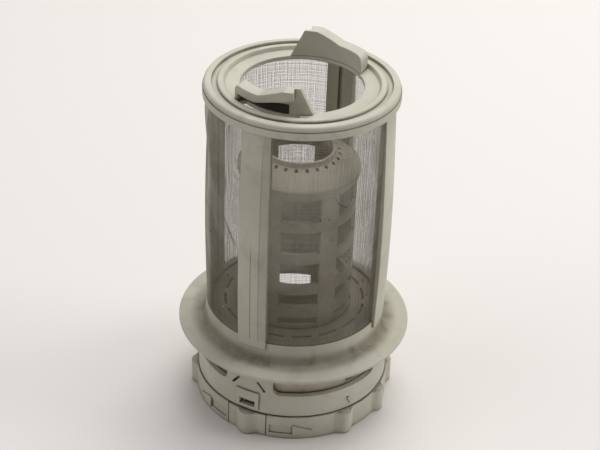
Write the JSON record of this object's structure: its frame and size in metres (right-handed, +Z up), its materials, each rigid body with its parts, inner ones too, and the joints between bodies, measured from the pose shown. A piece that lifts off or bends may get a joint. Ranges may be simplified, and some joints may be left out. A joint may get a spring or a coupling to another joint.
{
  "type": "dishwasher filter",
  "caption": "Tall round dishwasher filter: fine mesh cage with a bayonet cap, a flange and a slotted neck over a coarse inner basket.",
  "frame": {"origin": "centre of the circle that the grip ring stands on", "axes": "+Z up along the filter's axis, -Y towards the latch, +X to the right seen from the latch"},
  "size_m": [0.1012, 0.1012, 0.1614],
  "materials": {
    "body_plastic": "fine matte, slightly stained",
    "basket_plastic": "matte, stained",
    "filter_mesh": "fine woven monofilament"
  },
  "bodies": {
    "coarse_filter": {"coarse_basket": "basket_plastic", "grip_ring": "body_plastic"},
    "latch_tongue": {"latch": "body_plastic"},
    "fine_filter": {"cage": "body_plastic", "end_cap": "body_plastic", "mesh_front_right": "filter_mesh", "mesh_back_right": "filter_mesh", "mesh_back_left": "filter_mesh", "mesh_front_left": "filter_mesh"}
  },
  "joints": [
    {"name": "fine_filter_lift", "type": "slide", "parent": "coarse_filter", "child": "fine_filter", "axis": [0, 0, 1], "range_m": [0, 0.115]},
    {"name": "latch_press", "type": "hinge", "parent": "coarse_filter", "child": "latch_tongue", "pos_m": [0, -0.0412, 0.0015], "axis": [-1, 0, 0], "range_deg": [0, 8], "stiffness_Nm_per_rad": 0.5}
  ]
}
